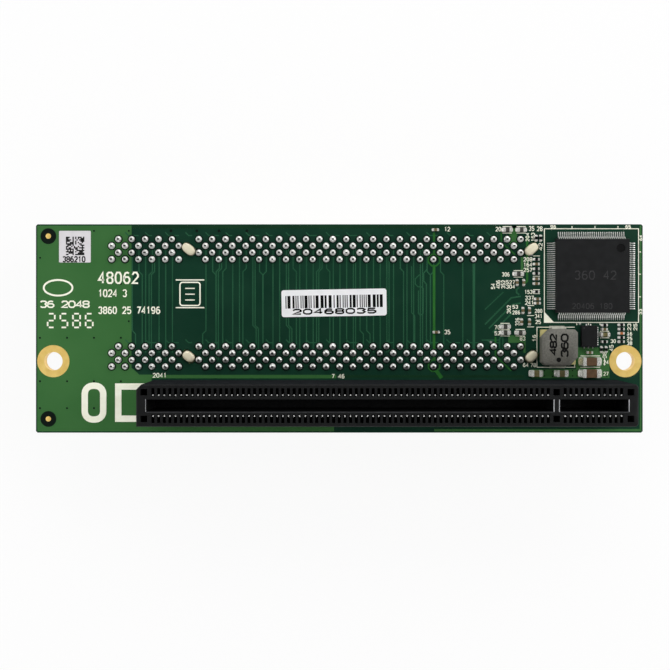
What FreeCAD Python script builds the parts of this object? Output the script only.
import FreeCAD, Part
import os

# A riser card as it lies for assembly. A circuit board stands on two 32-bit card
# slots of moulded plastic and carries a long 16-lane card slot on its other face,
# with a bridge chip, a voltage regulator and their small parts at the right end.
# X runs along the board and Y across it. Z runs from the mating faces of the two
# back slots up to the front of the board. All lengths are in millimetres.

# Board. Its length and width follow from what it carries and from these margins.
BOARD_THICKNESS = 1.6
BOARD_CORNER_CUT = 0.3
LEFT_MARGIN = 14.36
RIGHT_MARGIN = 1.79
TOP_MARGIN = 1.8
BOTTOM_MARGIN = 6.25

# Plated screw holes
SCREW_HOLE_DIAMETER = 3.5
RING_DIAMETER = 6.1
PLATING_THICKNESS = 0.05
SCREW_HOLE_INSET = 3.3
RING_TO_SLOT = 0.5

# Back slots: 62 contact places on each side, two of them taken by the key
BACK_PITCH = 1.27
BACK_PLACES = 62
BACK_KEY_PLACES = (11, 12)
BACK_ROW_OFFSETS = (1.905, 0.635)
BACK_SLOT_SPACING = 20.32
BACK_WIDTH = 8.9
BACK_HEIGHT = 15.5
BACK_END_LENGTH = 3.85
BACK_EDGE_CHAMFER = 0.5
BACK_CARD_WIDTH = 1.9
BACK_CARD_DEPTH = 9.0
BACK_CARD_END_ROOM = 1.85
BACK_CARD_LEAD_IN = 0.6
BACK_KEY_WIDTH = 1.8
BACK_SIDE_RECESS = 0.4
BACK_SIDE_RECESS_HEIGHT = 6.5
BACK_SIDE_RECESS_FOOT = 2.2
BACK_SIDE_END_LENGTH = 4.4
TAIL_WIDTH = 0.7
TAIL_THICKNESS = 0.5
TAIL_REACH = 1.3
BACK_PEG_LENGTH = 2.7
BACK_PEG_WIDTH = 1.75
BACK_PEG_CORNER = 0.5
BACK_PEG_REACH = 0.9
BACK_PEG_TURN = 40.0
BACK_PEG_END_PLACE = 2.05
PEG_CLEARANCE = 0.1

# Long slot on the front of the board, with its short contact group at the right
LONG_SLOT_TO_BACK = 8.2
LONG_PITCH = 1.0
LONG_SHORT_GROUP = 11
LONG_LONG_GROUP = 71
LONG_KEY_GAP = 3.0
LONG_END_LENGTH = 3.0
LONG_WIDTH = 7.5
LONG_HEIGHT = 11.25
LONG_RIGHT_INSET = 4.5
LONG_EDGE_CHAMFER = 0.3
LONG_CORNER_CHAMFER = 0.9
LONG_CARD_WIDTH = 1.8
LONG_CARD_DEPTH = 7.6
LONG_CARD_END_WALL = 1.75
LONG_CARD_LEAD_IN = 0.25
LONG_KEY_WIDTH = 1.1
WINDOW_WIDTH = 0.56
WINDOW_INNER = 1.55
WINDOW_OUTER = 3.1
WINDOW_DEPTH = 9.5
CORE_POCKET_LENGTH = 1.2
CORE_POCKET_WIDTH = 1.17
CORE_POCKET_OFFSET = 2.37
CORE_POCKET_END_PLACE = 1.37
CORE_POCKET_DEPTH = 5.0
LONG_PEG_WIDTH = 2.1
LONG_PEG_REACH = 1.3
SPRING_WIDTH = 0.36
SPRING_FOOT = 0.6
SPRING_TIP_DROP = 0.35
SPRING_FOOT_INSET = 0.15
SPRING_TIP_INSET = 0.05

# Bridge chip: a square flat pack
CHIP_BODY = 14.0
CHIP_DRAFT = 0.15
CHIP_HEIGHT = 1.4
CHIP_STANDOFF = 0.1
CHIP_LEADS_PER_SIDE = 32
CHIP_LEAD_PITCH = 0.4
CHIP_LEAD_WIDTH = 0.2
CHIP_LEAD_THICKNESS = 0.13
CHIP_LEAD_REACH = 1.0
CHIP_FOOT_LENGTH = 0.55
CHIP_DIMPLE_DIAMETER = 1.7
CHIP_DIMPLE_INSET = 1.8
CHIP_DIMPLE_DEPTH = 0.1
CHIP_TO_BACK_SLOT = 5.38
CHIP_CORNER_DROP = 13.07

# Power inductor: a moulded block with two cut corners, and a clip at each end
INDUCTOR_LENGTH = 6.9
INDUCTOR_HEIGHT = 3.0
INDUCTOR_BIG_CUT = 1.5
INDUCTOR_SMALL_CUT = 0.6
INDUCTOR_CLIP_WIDTH = 3.0
INDUCTOR_CLIP_THICKNESS = 0.4
INDUCTOR_CLIP_HEIGHT = 1.6
INDUCTOR_PLACE = (1.55, -5.45)

# Voltage regulator: a leadless pack on a thin frame of pads
REGULATOR_LENGTH = 3.0
REGULATOR_WIDTH = 4.0
REGULATOR_HEIGHT = 0.9
REGULATOR_PLACE = (7.5, -3.4)
REGULATOR_PAD_PITCH = 0.4
REGULATOR_PAD_WIDTH = 0.22
REGULATOR_PAD_REACH = 0.3
REGULATOR_PAD_THICKNESS = 0.1
REGULATOR_SIDE_PADS = 9
REGULATOR_TOP_PADS = 2
REGULATOR_BOTTOM_PADS = 3
REGULATOR_END_PAD_PITCH = 0.8

# Small ceramic blocks, soldered flat: length, width and height
TINY = (1.0, 0.5, 0.4)
SMALL = (1.6, 0.8, 0.6)
MIDDLE = (2.0, 1.25, 0.9)
LARGE = (3.2, 1.6, 1.3)
MIDDLE_END = 0.45
LARGE_END = 0.6
BLOCK_TO_SLOT = 0.45
LARGE_ROW_GAP = 0.65
MIDDLE_CAPACITOR_COLUMNS = {"left": -2.45, "right": 2.35}
LARGE_CAPACITOR_COLUMN = 7.8

# Places of the small blocks, from the lower left corner of the chip's lead tips.
# The third value tells whether the block lies along the board.
RESISTORS = [
    (-2.4, 11.15, True), (-2.4, 9.35, True), (-2.4, 8.5, True), (-2.4, 5.0, True),
    (-2.45, 15.15, False), (-1.6, 15.15, False),
    (10.5, -1.3, True), (10.5, -4.45, True),
    (13.7, -1.25, True), (13.7, -2.05, True), (13.7, -3.65, True), (13.7, -4.45, True),
    (9.9, -5.95, False), (10.8, -5.95, False)]
TINY_CAPACITORS = [
    (-2.4, 10.25, True), (-2.4, 7.45, True), (-2.4, 6.55, True),
    (-2.2, 3.65, True), (-2.2, 2.85, True),
    (-6.05, 6.75, False), (-4.8, 6.75, False),
    (-4.95, 1.45, False), (-3.7, 1.45, False), (-5.2, -0.7, False), (-3.7, -0.7, False),
    (10.5, -2.1, True), (7.7, -6.5, True),
    (-21.5, 16.75, True), (-21.35, -2.65, True)]
ORANGE_BLOCKS = [(13.7, -2.85, True)]
SMALL_CAPACITORS = [(10.55, -3.1, True)]
BEADS = [
    (-7.9, 16.75, True), (-5.25, 16.75, True), (-5.8, 8.4, True),
    (-8.3, -1.6, True), (-8.3, -2.75, True), (-5.45, -2.75, True)]

# Paper labels
SQUARE_LABEL_SIDE = 6.0
SQUARE_LABEL_INSET_X = 7.4
SQUARE_LABEL_INSET_TOP = 4.25
BAR_LABEL_LENGTH = 19.9
BAR_LABEL_WIDTH = 5.1
BAR_LABEL_TURN = 1.0
BAR_LABEL_SHIFT = 3.4
LABEL_THICKNESS = 0.1

# Heights of the board's two faces
BOARD_BACK = BACK_HEIGHT
BOARD_FRONT = BACK_HEIGHT + BOARD_THICKNESS

# Board outline, from the row of parts that it carries, centred on the origin
BACK_SPAN = (BACK_PLACES - 1) * BACK_PITCH
CHIP_SPAN = CHIP_BODY + 2 * CHIP_LEAD_REACH
BOARD_LENGTH = LEFT_MARGIN + BACK_SPAN + CHIP_TO_BACK_SLOT + CHIP_SPAN + RIGHT_MARGIN
CHIP_CORNER_HEIGHT = BOTTOM_MARGIN + LONG_SLOT_TO_BACK + BACK_SLOT_SPACING - CHIP_CORNER_DROP
BOARD_WIDTH = CHIP_CORNER_HEIGHT + CHIP_SPAN + TOP_MARGIN
BOARD_LEFT = -BOARD_LENGTH / 2
BOARD_RIGHT = BOARD_LENGTH / 2
BOARD_BOTTOM = -BOARD_WIDTH / 2
BOARD_TOP = BOARD_WIDTH / 2

# Main lines of the layout
BACK_FIRST_X = BOARD_LEFT + LEFT_MARGIN
BACK_LAST_X = BACK_FIRST_X + BACK_SPAN
BACK_KEY_X = BACK_FIRST_X + sum(BACK_KEY_PLACES) / 2 * BACK_PITCH
LONG_Y = BOARD_BOTTOM + BOTTOM_MARGIN
LONG_SIDE_Y = LONG_Y + LONG_WIDTH / 2
BACK_LOWER_Y = LONG_Y + LONG_SLOT_TO_BACK
BACK_Y = {"lower": BACK_LOWER_Y, "upper": BACK_LOWER_Y + BACK_SLOT_SPACING}
SCREW_HOLE_Y = LONG_SIDE_Y + RING_TO_SLOT + RING_DIAMETER / 2
SCREW_HOLE_X = {"left": BOARD_LEFT + SCREW_HOLE_INSET, "right": BOARD_RIGHT - SCREW_HOLE_INSET}
CIRCUIT_X = BACK_LAST_X + CHIP_TO_BACK_SLOT
CIRCUIT_Y = BOARD_BOTTOM + CHIP_CORNER_HEIGHT
CHIP_X = CIRCUIT_X + CHIP_SPAN / 2
CHIP_Y = CIRCUIT_Y + CHIP_SPAN / 2

# Long slot, from its right end to its left end
LONG_GROUP_SPAN = (LONG_SHORT_GROUP - 1 + LONG_LONG_GROUP - 1) * LONG_PITCH
LONG_LENGTH = 2 * LONG_END_LENGTH + LONG_GROUP_SPAN + LONG_KEY_GAP
LONG_RIGHT = BOARD_RIGHT - LONG_RIGHT_INSET
LONG_LEFT = LONG_RIGHT - LONG_LENGTH
LONG_TOP = BOARD_FRONT + LONG_HEIGHT
LONG_SHORT_START = LONG_RIGHT - LONG_END_LENGTH
LONG_SHORT_END = LONG_SHORT_START - (LONG_SHORT_GROUP - 1) * LONG_PITCH
LONG_LONG_START = LONG_SHORT_END - LONG_KEY_GAP
LONG_KEY_X = (LONG_SHORT_END + LONG_LONG_START) / 2


def box(x0, x1, y0, y1, z0, z1):
    """A block between two corners."""
    return Part.makeBox(x1 - x0, y1 - y0, z1 - z0, FreeCAD.Vector(x0, y0, z0))


def block_at(x, y, z, length, width, height):
    """A block with its underside centred on a point."""
    return box(x - length / 2, x + length / 2, y - width / 2, y + width / 2, z, z + height)


def post(x, y, z0, z1, diameter):
    """An upright round post."""
    return Part.makeCylinder(diameter / 2, z1 - z0, FreeCAD.Vector(x, y, z0))


def peg_post(x, y, z0, z1, length, width, corner, turn):
    """An upright post of eight-sided section, for a peg or the hole that it goes in."""
    half_x = length / 2
    half_y = width / 2
    c = corner
    quarter = [(half_x, half_y - c), (half_x - c, half_y)]
    outline = quarter + [(-px, py) for px, py in reversed(quarter)]
    outline += [(-px, -py) for px, py in outline]
    solid = prism([(px, py, 0) for px, py in outline], (0, 0, z1 - z0))
    solid.rotate(FreeCAD.Vector(0, 0, 0), FreeCAD.Vector(0, 0, 1), turn)
    solid.translate(FreeCAD.Vector(x, y, z0))
    return solid


def prism(points, travel):
    """A solid swept from a flat outline."""
    vectors = [FreeCAD.Vector(*point) for point in points]
    return Part.Face(Part.makePolygon(vectors + vectors[:1])).extrude(FreeCAD.Vector(*travel))


def spike(x, y, z, length, width, height):
    """A four-sided spike standing on its base."""
    corners = [
        FreeCAD.Vector(x - length / 2, y - width / 2, z), FreeCAD.Vector(x + length / 2, y - width / 2, z),
        FreeCAD.Vector(x + length / 2, y + width / 2, z), FreeCAD.Vector(x - length / 2, y + width / 2, z)]
    tip = FreeCAD.Vector(x, y, z + height)
    outlines = [corners]
    for i, corner in enumerate(corners):
        outlines.append([corner, corners[(i + 1) % 4], tip])
    faces = [Part.Face(Part.makePolygon(outline + outline[:1])) for outline in outlines]
    return Part.makeSolid(Part.makeShell(faces))


def tapered_block(x, y, z0, z1, lower, upper):
    """A square block whose side changes from its lower to its upper face."""
    wires = []
    for z, side in ((z0, lower), (z1, upper)):
        h = side / 2
        corners = [(x - h, y - h), (x + h, y - h), (x + h, y + h), (x - h, y + h), (x - h, y - h)]
        wires.append(Part.makePolygon([FreeCAD.Vector(cx, cy, z) for cx, cy in corners]))
    return Part.makeLoft(wires, True, True)


def card_opening(x0, x1, y, mouth_z, floor_z, width, lead_in):
    """The space for a card edge, with sloped lead-ins round its mouth."""
    into = 1 if floor_z > mouth_z else -1
    low = min(mouth_z, floor_z)
    opening = box(x0, x1, y - width / 2, y + width / 2, low, low + abs(mouth_z - floor_z))
    wires = []
    for grow, z in ((lead_in, mouth_z), (0, mouth_z + into * lead_in)):
        h = width / 2 + grow
        corners = [(x0 - grow, y - h), (x1 + grow, y - h), (x1 + grow, y + h), (x0 - grow, y + h)]
        corners.append(corners[0])
        wires.append(Part.makePolygon([FreeCAD.Vector(cx, cy, z) for cx, cy in corners]))
    return opening.fuse(Part.makeLoft(wires, True, True)).removeSplitter()


def save(name, solids):
    """Write one named piece, or one group of like pieces."""
    shape = solids[0] if len(solids) == 1 else Part.makeCompound(solids)
    shape.exportStep("parts/" + name + ".step")


def back_peg(x, y, z0, z1, clearance, turn):
    """A long-sectioned peg of a back slot, or with a clearance the hole for it."""
    length = BACK_PEG_LENGTH + 2 * clearance
    width = BACK_PEG_WIDTH + 2 * clearance
    return peg_post(x, y, z0, z1, length, width, BACK_PEG_CORNER, turn)


def long_peg(x, y, z0, z1, clearance):
    """A regular eight-sided peg of the long slot, or with a clearance the hole for it."""
    width = LONG_PEG_WIDTH + 2 * clearance
    return peg_post(x, y, z0, z1, width, width, width / (2 + 2 ** 0.5), 0)


def back_peg_places():
    """Centre and turn of each peg that comes through the board."""
    places = []
    for y in BACK_Y.values():
        places.append((BACK_KEY_X, y, 180 - BACK_PEG_TURN))
        places.append((BACK_LAST_X + BACK_PEG_END_PLACE, y, BACK_PEG_TURN))
    return places


def long_peg_places():
    """Centres of the two pegs under the long slot."""
    return [(LONG_KEY_X, LONG_Y), (LONG_LEFT + CORE_POCKET_END_PLACE, LONG_Y)]


def make_board():
    """The board, cut for screws and for the pegs of its three slots."""
    board = box(BOARD_LEFT, BOARD_RIGHT, BOARD_BOTTOM, BOARD_TOP, BOARD_BACK, BOARD_FRONT)
    upright = [edge for edge in board.Edges if abs(edge.Vertexes[0].Z - edge.Vertexes[1].Z) > 0.1]
    board = board.makeChamfer(BOARD_CORNER_CUT, upright)
    holes = []
    for x in SCREW_HOLE_X.values():
        width = SCREW_HOLE_DIAMETER + 2 * PLATING_THICKNESS
        holes.append(post(x, SCREW_HOLE_Y, BOARD_BACK, BOARD_FRONT, width))
    for x, y, turn in back_peg_places():
        holes.append(back_peg(x, y, BOARD_BACK, BOARD_FRONT, PEG_CLEARANCE, turn))
    for x, y in long_peg_places():
        holes.append(long_peg(x, y, BOARD_BACK, BOARD_FRONT, PEG_CLEARANCE))
    save("circuit_board", [board.cut(holes)])


def make_screw_hole_platings():
    """Metal rings on both faces of the board, joined through each screw hole."""
    low = BOARD_BACK - PLATING_THICKNESS
    high = BOARD_FRONT + PLATING_THICKNESS
    platings = []
    for x in SCREW_HOLE_X.values():
        sleeve = post(x, SCREW_HOLE_Y, low, high, SCREW_HOLE_DIAMETER + 2 * PLATING_THICKNESS)
        rings = [
            post(x, SCREW_HOLE_Y, low, BOARD_BACK, RING_DIAMETER),
            post(x, SCREW_HOLE_Y, BOARD_FRONT, high, RING_DIAMETER)]
        bore = post(x, SCREW_HOLE_Y, low, high, SCREW_HOLE_DIAMETER)
        platings.append(sleeve.fuse(rings).cut(bore).removeSplitter())
    save("screw_hole_platings", platings)


def make_back_slot(name, y):
    """One 32-bit slot behind the board: a moulded housing and its contact tails."""
    x0 = BACK_FIRST_X - BACK_END_LENGTH
    x1 = BACK_LAST_X + BACK_END_LENGTH
    h = BACK_WIDTH / 2
    c = BACK_EDGE_CHAMFER
    outline = [
        (x0, y - h + c, 0), (x0, y - h, c), (x0, y - h, BACK_HEIGHT),
        (x0, y + h, BACK_HEIGHT), (x0, y + h, c), (x0, y + h - c, 0)]
    housing = prism(outline, (x1 - x0, 0, 0))
    card_x0 = BACK_FIRST_X - BACK_CARD_END_ROOM
    card_x1 = BACK_LAST_X + BACK_CARD_END_ROOM
    key_x0 = BACK_KEY_X - BACK_KEY_WIDTH / 2
    key_x1 = BACK_KEY_X + BACK_KEY_WIDTH / 2
    cuts = [
        card_opening(card_x0, key_x0, y, 0, BACK_CARD_DEPTH, BACK_CARD_WIDTH, BACK_CARD_LEAD_IN),
        card_opening(key_x1, card_x1, y, 0, BACK_CARD_DEPTH, BACK_CARD_WIDTH, BACK_CARD_LEAD_IN)]
    for side in (-1, 1):
        face = y + side * h
        depth = face - side * BACK_SIDE_RECESS
        foot = BACK_HEIGHT - BACK_SIDE_RECESS_FOOT
        cuts.append(box(
            x0 + BACK_SIDE_END_LENGTH, x1 - BACK_SIDE_END_LENGTH, min(face, depth), max(face, depth),
            foot - BACK_SIDE_RECESS_HEIGHT, foot))
    housing = housing.cut(cuts)
    pegs = []
    for px, py, turn in back_peg_places():
        if py == y:
            pegs.append(back_peg(px, py, BOARD_BACK, BOARD_FRONT + BACK_PEG_REACH, 0, turn))
    save("back_slot_housing_" + name, [housing.fuse(pegs).removeSplitter()])
    save("back_slot_tails_" + name, back_tails(y))


def back_tails(y):
    """Stamped tails that come up through the board in four staggered rows."""
    tails = []
    for place in range(BACK_PLACES):
        if place in BACK_KEY_PLACES:
            continue
        x = BACK_FIRST_X + place * BACK_PITCH
        outer, inner = BACK_ROW_OFFSETS
        rows = (inner, -outer) if place % 2 == 0 else (outer, -inner)
        for offset in rows:
            tails.append(spike(x, y + offset, BOARD_FRONT, TAIL_WIDTH, TAIL_THICKNESS, TAIL_REACH))
    return tails


def long_contact_places():
    """X of every contact place along the long slot."""
    places = [LONG_SHORT_START - i * LONG_PITCH for i in range(LONG_SHORT_GROUP)]
    places += [LONG_LONG_START - i * LONG_PITCH for i in range(LONG_LONG_GROUP)]
    return places


def make_long_slot():
    """The 16-lane slot: a housing with a window over each contact, and the springs."""
    h = LONG_WIDTH / 2
    c = LONG_EDGE_CHAMFER
    housing = box(LONG_LEFT, LONG_RIGHT, LONG_Y - h, LONG_Y + h, BOARD_FRONT, LONG_TOP)
    corner = [edge for edge in housing.Edges if is_marked_corner(edge)]
    housing = housing.makeChamfer(LONG_CORNER_CHAMFER, corner)
    rim = [edge for edge in housing.Edges if min(v.Z for v in edge.Vertexes) > LONG_TOP - 0.01]
    housing = housing.makeChamfer(c, rim)
    cuts = []
    card_x0 = LONG_LEFT + LONG_CARD_END_WALL
    card_x1 = LONG_RIGHT - LONG_CARD_END_WALL
    key_x0 = LONG_KEY_X - LONG_KEY_WIDTH / 2
    key_x1 = LONG_KEY_X + LONG_KEY_WIDTH / 2
    floor_z = LONG_TOP - LONG_CARD_DEPTH
    for x0, x1 in ((card_x0, key_x0), (key_x1, card_x1)):
        cuts.append(card_opening(x0, x1, LONG_Y, LONG_TOP, floor_z, LONG_CARD_WIDTH, LONG_CARD_LEAD_IN))
    pocket_places = (LONG_LEFT + CORE_POCKET_END_PLACE, LONG_KEY_X, LONG_RIGHT - CORE_POCKET_END_PLACE)
    for side in (-1, 1):
        for x in pocket_places:
            cuts.append(block_at(
                x, LONG_Y + side * CORE_POCKET_OFFSET, LONG_TOP - CORE_POCKET_DEPTH,
                CORE_POCKET_LENGTH, CORE_POCKET_WIDTH, CORE_POCKET_DEPTH))
        for x in long_contact_places():
            middle = LONG_Y + side * (WINDOW_INNER + WINDOW_OUTER) / 2
            cuts.append(block_at(
                x, middle, LONG_TOP - WINDOW_DEPTH,
                WINDOW_WIDTH, WINDOW_OUTER - WINDOW_INNER, WINDOW_DEPTH))
    housing = housing.cut(Part.makeCompound(cuts))
    pegs = []
    for x, y in long_peg_places():
        pegs.append(long_peg(x, y, BOARD_BACK - LONG_PEG_REACH, BOARD_FRONT, 0))
    housing = housing.fuse(pegs)
    save("long_slot_housing", [housing])
    save("long_slot_contacts_upper", long_springs(1))
    save("long_slot_contacts_lower", long_springs(-1))


def is_marked_corner(edge):
    """True for the upright edge at the upper left, which marks the slot's direction."""
    first = edge.Vertexes[0]
    last = edge.Vertexes[-1]
    upright = abs(first.Z - last.Z) > 0.1
    return upright and first.X < LONG_LEFT + 0.01 and first.Y > LONG_Y


def long_springs(side):
    """Contact springs that lean from the outer wall of their windows and taper to the card."""
    low = LONG_TOP - WINDOW_DEPTH
    high = LONG_TOP - SPRING_TIP_DROP
    foot = WINDOW_OUTER - SPRING_FOOT_INSET
    tip = WINDOW_INNER + SPRING_TIP_INSET
    springs = []
    for x in long_contact_places():
        side_x = x - SPRING_WIDTH / 2
        outline = [
            (side_x, LONG_Y + side * foot, low),
            (side_x, LONG_Y + side * (foot - SPRING_FOOT), low),
            (side_x, LONG_Y + side * tip, high)]
        springs.append(prism(outline, (SPRING_WIDTH, 0, 0)))
    return springs


def make_chip():
    """The bridge chip: a moulded body with drafted sides, and bent leads all round."""
    low = BOARD_FRONT + CHIP_STANDOFF
    high = low + CHIP_HEIGHT
    middle = (low + high) / 2
    face = CHIP_BODY - 2 * CHIP_DRAFT
    lower = tapered_block(CHIP_X, CHIP_Y, low, middle, face, CHIP_BODY)
    upper = tapered_block(CHIP_X, CHIP_Y, middle, high, CHIP_BODY, face)
    corner = CHIP_BODY / 2 - CHIP_DIMPLE_INSET
    dimple = post(CHIP_X + corner, CHIP_Y + corner, high - CHIP_DIMPLE_DEPTH, high, CHIP_DIMPLE_DIAMETER)
    save("bridge_chip_body", [lower.fuse(upper).removeSplitter().cut(dimple)])
    leads = []
    for quarter in range(4):
        for i in range(CHIP_LEADS_PER_SIDE):
            along = (i - (CHIP_LEADS_PER_SIDE - 1) / 2) * CHIP_LEAD_PITCH
            leads.append(chip_lead(along, middle, quarter))
    save("bridge_chip_leads", leads)


def chip_lead(along, middle, quarter):
    """One lead: it slopes down from the body's side to a flat foot on the board."""
    root = CHIP_BODY / 2
    tip = CHIP_SPAN / 2
    heel = tip - CHIP_FOOT_LENGTH
    t = CHIP_LEAD_THICKNESS
    side = along - CHIP_LEAD_WIDTH / 2
    outline = [
        (root, side, middle + t / 2), (heel + t / 2, side, BOARD_FRONT + t),
        (tip, side, BOARD_FRONT + t), (tip, side, BOARD_FRONT),
        (heel - t / 2, side, BOARD_FRONT), (root, side, middle - t / 2)]
    lead = prism(outline, (0, CHIP_LEAD_WIDTH, 0))
    lead.rotate(FreeCAD.Vector(0, 0, 0), FreeCAD.Vector(0, 0, 1), 90 * quarter)
    lead.translate(FreeCAD.Vector(CHIP_X, CHIP_Y, 0))
    return lead


def make_inductor():
    """The power inductor: a moulded block, and a metal clip at its upper and lower side."""
    x = CIRCUIT_X + INDUCTOR_PLACE[0]
    y = CIRCUIT_Y + INDUCTOR_PLACE[1]
    h = INDUCTOR_LENGTH / 2
    b = INDUCTOR_BIG_CUT
    s = INDUCTOR_SMALL_CUT
    z = BOARD_FRONT
    outline = [
        (x - h + s, y - h, z), (x + h - b, y - h, z), (x + h, y - h + b, z), (x + h, y + h - s, z),
        (x + h - s, y + h, z), (x - h + b, y + h, z), (x - h, y + h - b, z), (x - h, y - h + s, z)]
    save("inductor_core", [prism(outline, (0, 0, INDUCTOR_HEIGHT))])
    clips = []
    for side in (-1, 1):
        middle = y + side * (h + INDUCTOR_CLIP_THICKNESS / 2)
        clips.append(block_at(
            x, middle, z, INDUCTOR_CLIP_WIDTH, INDUCTOR_CLIP_THICKNESS, INDUCTOR_CLIP_HEIGHT))
    save("inductor_clips", clips)


def make_regulator():
    """The voltage regulator: a low moulded block, with the ends of its pads showing."""
    x = CIRCUIT_X + REGULATOR_PLACE[0]
    y = CIRCUIT_Y + REGULATOR_PLACE[1]
    z = BOARD_FRONT
    save("regulator_body", [block_at(x, y, z, REGULATOR_LENGTH, REGULATOR_WIDTH, REGULATOR_HEIGHT)])
    pads = []
    right = x + REGULATOR_LENGTH / 2 + REGULATOR_PAD_REACH / 2
    for i in range(REGULATOR_SIDE_PADS):
        pad_y = y + (i - (REGULATOR_SIDE_PADS - 1) / 2) * REGULATOR_PAD_PITCH
        pads.append(block_at(
            right, pad_y, z, REGULATOR_PAD_REACH, REGULATOR_PAD_WIDTH, REGULATOR_PAD_THICKNESS))
    for side, count in ((1, REGULATOR_TOP_PADS), (-1, REGULATOR_BOTTOM_PADS)):
        pad_y = y + side * (REGULATOR_WIDTH + REGULATOR_PAD_REACH) / 2
        for i in range(count):
            pad_x = x + (i - (count - 1) / 2) * REGULATOR_END_PAD_PITCH
            pads.append(block_at(
                pad_x, pad_y, z, REGULATOR_PAD_WIDTH, REGULATOR_PAD_REACH, REGULATOR_PAD_THICKNESS))
    save("regulator_pads", pads)


def make_block_group(name, size, places):
    """Like small blocks in one group."""
    length, width, height = size
    blocks = []
    for offset_x, offset_y, along_x in places:
        plan = (length, width) if along_x else (width, length)
        blocks.append(block_at(CIRCUIT_X + offset_x, CIRCUIT_Y + offset_y, BOARD_FRONT, *plan, height))
    save(name, blocks)


def make_big_capacitor(name, x, y, size, end):
    """One larger ceramic capacitor: its brown body and its two metal ends."""
    length, width, height = size
    save(name + "_body", [block_at(x, y, BOARD_FRONT, length - 2 * end, width, height)])
    ends = []
    for side in (-1, 1):
        ends.append(block_at(x + side * (length - end) / 2, y, BOARD_FRONT, end, width, height))
    save(name + "_ends", ends)


def make_big_capacitors():
    """Two large and two middle-sized capacitors beside the long slot."""
    lower_row = LONG_SIDE_Y + BLOCK_TO_SLOT + LARGE[1] / 2
    upper_row = lower_row + LARGE[1] + LARGE_ROW_GAP
    for name, y in (("upper", upper_row), ("lower", lower_row)):
        x = CIRCUIT_X + LARGE_CAPACITOR_COLUMN
        make_big_capacitor("large_capacitor_" + name, x, y, LARGE, LARGE_END)
    for name, column in MIDDLE_CAPACITOR_COLUMNS.items():
        make_big_capacitor("middle_capacitor_" + name, CIRCUIT_X + column, lower_row, MIDDLE, MIDDLE_END)


def make_labels():
    """Two paper labels: a square one at the upper left and a long one at the middle."""
    x = BOARD_LEFT + SQUARE_LABEL_INSET_X
    y = BOARD_TOP - SQUARE_LABEL_INSET_TOP
    save("square_label", [block_at(
        x, y, BOARD_FRONT, SQUARE_LABEL_SIDE, SQUARE_LABEL_SIDE, LABEL_THICKNESS)])
    x = (BACK_FIRST_X + BACK_LAST_X) / 2 + BAR_LABEL_SHIFT
    y = (BACK_Y["upper"] + BACK_Y["lower"]) / 2
    label = block_at(0, 0, BOARD_FRONT, BAR_LABEL_LENGTH, BAR_LABEL_WIDTH, LABEL_THICKNESS)
    label.rotate(FreeCAD.Vector(0, 0, 0), FreeCAD.Vector(0, 0, 1), BAR_LABEL_TURN)
    label.translate(FreeCAD.Vector(x, y, 0))
    save("bar_label", [label])


os.makedirs("parts", exist_ok=True)
make_board()
make_screw_hole_platings()
for slot_name, slot_y in BACK_Y.items():
    make_back_slot(slot_name, slot_y)
make_long_slot()
make_chip()
make_inductor()
make_regulator()
make_big_capacitors()
make_block_group("resistors", TINY, RESISTORS)
make_block_group("tiny_capacitors", TINY, TINY_CAPACITORS)
make_block_group("orange_blocks", TINY, ORANGE_BLOCKS)
make_block_group("small_capacitors", SMALL, SMALL_CAPACITORS)
make_block_group("beads", SMALL, BEADS)
make_labels()
